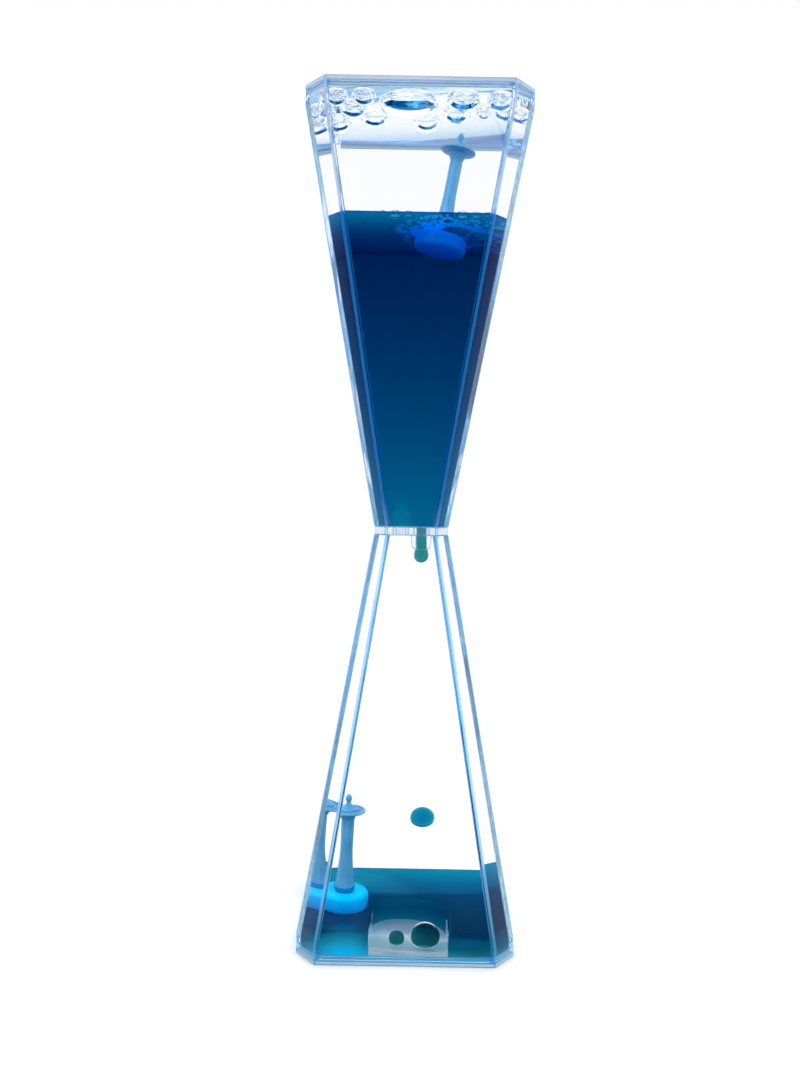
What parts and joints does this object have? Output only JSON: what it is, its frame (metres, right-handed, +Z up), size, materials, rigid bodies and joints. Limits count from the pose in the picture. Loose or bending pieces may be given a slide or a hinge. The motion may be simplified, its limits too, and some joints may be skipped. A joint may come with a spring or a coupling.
{
  "type": "liquid motion timer",
  "caption": "Clear hourglass desk timer: dyed water drips through a waist nozzle into clear oil, and a small tower floats in each chamber.",
  "frame": {"origin": "middle of the bottom face, on the surface that the timer stands on", "axes": "+Z up along the timer's height, +X to the right across its width, -Y towards the front of the picture"},
  "size_m": [0.0464, 0.04, 0.18],
  "materials": {
    "clear_plastic": "clear moulded polystyrene, polished, slightly blue at its edges",
    "clear_oil": "clear colourless oil",
    "dyed_water": "clear water with strong blue dye, teal where thin",
    "bubble_air": "air bubble in a liquid",
    "tower_plastic": "pale blue moulded plastic, satin",
    "float_plastic": "bright blue moulded plastic, satin",
    "ballast_steel": "plain turned steel slug"
  },
  "bodies": {
    "case": {"bottom_end_cap": "clear_plastic", "cap_bubble_1": "bubble_air", "cap_bubble_10": "bubble_air", "cap_bubble_11": "bubble_air", "cap_bubble_2": "bubble_air", "cap_bubble_3": "bubble_air", "cap_bubble_4": "bubble_air", "cap_bubble_5": "bubble_air", "cap_bubble_6": "bubble_air", "cap_bubble_7": "bubble_air", "cap_bubble_8": "bubble_air", "cap_bubble_9": "bubble_air", "divider_plate": "clear_plastic", "drip_nozzle": "clear_plastic", "fill_plug": "clear_plastic", "hanging_drop": "dyed_water", "loose_drop_1": "dyed_water", "loose_drop_2": "dyed_water", "lower_chamber_shell": "clear_plastic", "lower_clear_oil": "clear_oil", "lower_dyed_water": "dyed_water", "rising_nozzle": "clear_plastic", "surface_bubble_1": "bubble_air", "surface_bubble_2": "bubble_air", "surface_bubble_3": "bubble_air", "surface_bubble_4": "bubble_air", "surface_bubble_5": "bubble_air", "top_end_cap": "clear_plastic", "upper_chamber_shell": "clear_plastic", "upper_clear_oil": "clear_oil", "upper_dyed_water": "dyed_water"},
    "upper_figure": {"upper_float_ballast": "ballast_steel", "upper_float_base": "float_plastic", "upper_tower_column": "tower_plastic", "upper_tower_deck": "tower_plastic", "upper_tower_mast": "tower_plastic"},
    "lower_figure": {"lower_float_ballast": "ballast_steel", "lower_float_base": "float_plastic", "lower_tower_column": "tower_plastic", "lower_tower_deck": "tower_plastic", "lower_tower_mast": "tower_plastic"},
    "drop": {"falling_drop": "dyed_water"}
  },
  "joints": [
    {"name": "upper_figure_slide", "type": "slide", "parent": "case", "child": "upper_figure", "axis": [-0.0788, 0.062, -0.995], "range_m": [0, 0.053], "deforming": ["upper_dyed_water", "upper_clear_oil"]},
    {"name": "lower_figure_slide", "type": "slide", "parent": "case", "child": "lower_figure", "axis": [0.1706, -0.1105, 0.9791], "range_m": [0, 0.0314], "deforming": ["lower_dyed_water", "lower_clear_oil"]},
    {"name": "falling_drop_slide", "type": "slide", "parent": "case", "child": "drop", "axis": [0.0187, -0.0156, -0.9997], "range_m": [-0.054, 0.0158]}
  ],
  "couplings": [
    {"joint": "lower_figure_slide", "follows": "upper_figure_slide", "ratio": 0.59}
  ]
}
